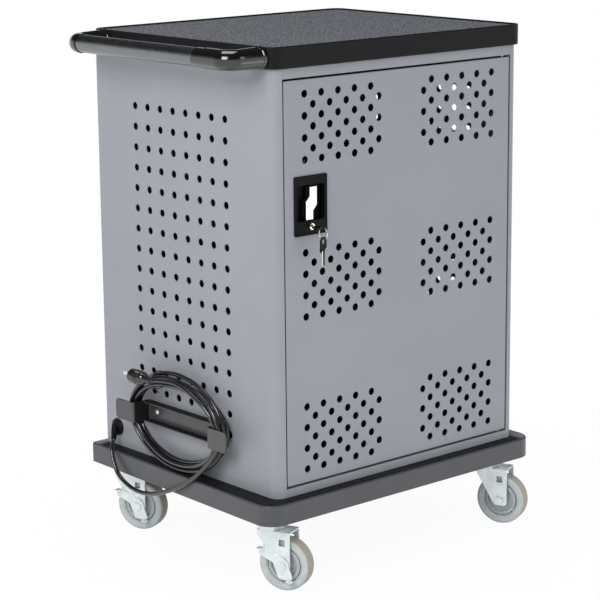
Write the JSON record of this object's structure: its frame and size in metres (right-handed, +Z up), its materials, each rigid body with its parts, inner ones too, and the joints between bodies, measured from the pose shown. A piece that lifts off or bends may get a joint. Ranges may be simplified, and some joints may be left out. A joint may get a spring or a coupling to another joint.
{
  "type": "laptop_charging_cart",
  "caption": "Grey perforated steel laptop charging cart on swivel casters, with a locking door, a black top tray, a push handle and a mains lead wound on a side bracket",
  "frame": {"origin": "on the floor, in the middle of the cart and its handle", "axes": "X along the door to the right as seen from the front, Y from the door to the back, Z up"},
  "size_m": [0.7456, 0.5898, 1],
  "materials": {
    "body_enamel": "satin light grey enamel",
    "base_enamel": "semi-gloss charcoal enamel",
    "tray_plastic": "fine-grained black plastic",
    "elbow_gloss": "glossy black plastic",
    "grip_coat": "satin grey coated tube",
    "mat_rubber": "ribbed dark grey rubber",
    "key_plastic": "black key head",
    "cord_rubber": "satin black jacket",
    "zinc_plate": "bright zinc plate",
    "chrome_plate": "polished",
    "hub_plastic": "grey moulded",
    "tyre_rubber": "non-marking grey"
  },
  "bodies": {
    "cabinet": {"base_pan": "base_enamel", "base_rail_left": "zinc_plate", "base_rail_right": "zinc_plate", "left_side_panel": "body_enamel", "right_side_panel": "body_enamel", "front_post_left": "body_enamel", "front_post_right": "body_enamel", "floor_panel": "body_enamel", "top_panel": "body_enamel", "rear_jamb_left": "body_enamel", "rear_jamb_right": "body_enamel", "mid_shelf": "body_enamel", "bay_partition": "body_enamel", "upper_divider_rack": "tray_plastic", "lower_divider_rack": "tray_plastic", "upper_power_strip": "tray_plastic", "lower_power_strip": "tray_plastic", "top_tray": "tray_plastic", "tray_mat": "mat_rubber", "handle_grip": "grip_coat", "handle_elbow_front": "elbow_gloss", "handle_elbow_rear": "elbow_gloss", "cord_hook": "base_enamel", "cord_gland": "cord_rubber", "power_cord": "cord_rubber", "cord_coil": "cord_rubber", "power_plug": "cord_rubber", "caster_plate_front_left": "zinc_plate", "caster_plate_front_right": "zinc_plate", "caster_plate_rear_left": "zinc_plate", "caster_plate_rear_right": "zinc_plate"},
    "front_door": {"front_door": "body_enamel", "lock_dish": "tray_plastic"},
    "turn_handle": {"turn_handle": "chrome_plate", "latch_cam": "zinc_plate"},
    "lock_core": {"lock_cylinder": "chrome_plate", "door_key": "key_plastic"},
    "key_ring": {"key_ring": "chrome_plate", "spare_key": "key_plastic"},
    "rear_door": {"rear_door": "body_enamel"},
    "rear_lock": {"rear_lock": "chrome_plate"},
    "fork_front_left": {"caster_fork_front_left": "zinc_plate", "caster_axle_front_left": "zinc_plate"},
    "wheel_front_left": {"wheel_hub_front_left": "hub_plastic", "wheel_tyre_front_left": "tyre_rubber"},
    "fork_front_right": {"caster_fork_front_right": "zinc_plate", "caster_axle_front_right": "zinc_plate"},
    "wheel_front_right": {"wheel_hub_front_right": "hub_plastic", "wheel_tyre_front_right": "tyre_rubber"},
    "fork_rear_left": {"caster_fork_rear_left": "zinc_plate", "caster_axle_rear_left": "zinc_plate"},
    "wheel_rear_left": {"wheel_hub_rear_left": "hub_plastic", "wheel_tyre_rear_left": "tyre_rubber"},
    "fork_rear_right": {"caster_fork_rear_right": "zinc_plate", "caster_axle_rear_right": "zinc_plate"},
    "wheel_rear_right": {"wheel_hub_rear_right": "hub_plastic", "wheel_tyre_rear_right": "tyre_rubber"},
    "brake_front_left": {"brake_lever_front_left": "zinc_plate"},
    "brake_rear_left": {"brake_lever_rear_left": "zinc_plate"}
  },
  "joints": [
    {"name": "front_door_hinge", "type": "hinge", "parent": "cabinet", "child": "front_door", "pos_m": [0.30625, -0.2391, 0.567], "axis": [0, 0, 1], "range_deg": [0, 110]},
    {"name": "turn_handle_turn", "type": "hinge", "parent": "front_door", "child": "turn_handle", "pos_m": [-0.19325, -0.2481, 0.716], "axis": [0, -1, 0], "range_deg": [0, 90]},
    {"name": "lock_turn", "type": "hinge", "parent": "front_door", "child": "lock_core", "pos_m": [-0.19325, -0.2481, 0.6735], "axis": [0, -1, 0], "range_deg": [0, 90]},
    {"name": "key_ring_swing", "type": "hinge", "parent": "lock_core", "child": "key_ring", "pos_m": [-0.19325, -0.2764, 0.6735], "axis": [0, 1, 0], "range_deg": [-25, 25]},
    {"name": "rear_door_hinge", "type": "hinge", "parent": "cabinet", "child": "rear_door", "pos_m": [0.32645, 0.2689, 0.567], "axis": [0, 0, -1], "range_deg": [0, 110]},
    {"name": "rear_lock_turn", "type": "hinge", "parent": "rear_door", "child": "rear_lock", "pos_m": [-0.23895, 0.2779, 0.56665], "axis": [0, -1, 0], "range_deg": [0, 90]},
    {"name": "swivel_front_left", "type": "hinge", "parent": "cabinet", "child": "fork_front_left", "pos_m": [-0.26725, -0.2151, 0.115], "axis": [0, 0, 1], "continuous": true},
    {"name": "roll_front_left", "type": "hinge", "parent": "fork_front_left", "child": "wheel_front_left", "pos_m": [-0.25423, -0.24433, 0.05], "axis": [0.9135, 0.4067, 0], "continuous": true},
    {"name": "swivel_front_right", "type": "hinge", "parent": "cabinet", "child": "fork_front_right", "pos_m": [0.30475, -0.2151, 0.115], "axis": [0, 0, 1], "continuous": true},
    {"name": "roll_front_right", "type": "hinge", "parent": "fork_front_right", "child": "wheel_front_right", "pos_m": [0.31777, -0.24433, 0.05], "axis": [0.9135, 0.4067, 0], "continuous": true},
    {"name": "swivel_rear_left", "type": "hinge", "parent": "cabinet", "child": "fork_rear_left", "pos_m": [-0.25325, 0.2449, 0.115], "axis": [0, 0, 1], "continuous": true},
    {"name": "roll_rear_left", "type": "hinge", "parent": "fork_rear_left", "child": "wheel_rear_left", "pos_m": [-0.24023, 0.21567, 0.05], "axis": [0.9135, 0.4067, 0], "continuous": true},
    {"name": "swivel_rear_right", "type": "hinge", "parent": "cabinet", "child": "fork_rear_right", "pos_m": [0.31875, 0.2449, 0.115], "axis": [0, 0, 1], "continuous": true},
    {"name": "roll_rear_right", "type": "hinge", "parent": "fork_rear_right", "child": "wheel_rear_right", "pos_m": [0.33177, 0.21567, 0.05], "axis": [0.9135, 0.4067, 0], "continuous": true},
    {"name": "brake_front_left", "type": "hinge", "parent": "fork_front_left", "child": "brake_front_left", "pos_m": [-0.25423, -0.24433, 0.05], "axis": [-0.9135, -0.4067, 0], "range_deg": [0, 25]},
    {"name": "brake_rear_left", "type": "hinge", "parent": "fork_rear_left", "child": "brake_rear_left", "pos_m": [-0.24023, 0.21567, 0.05], "axis": [-0.9135, -0.4067, 0], "range_deg": [0, 25]}
  ]
}
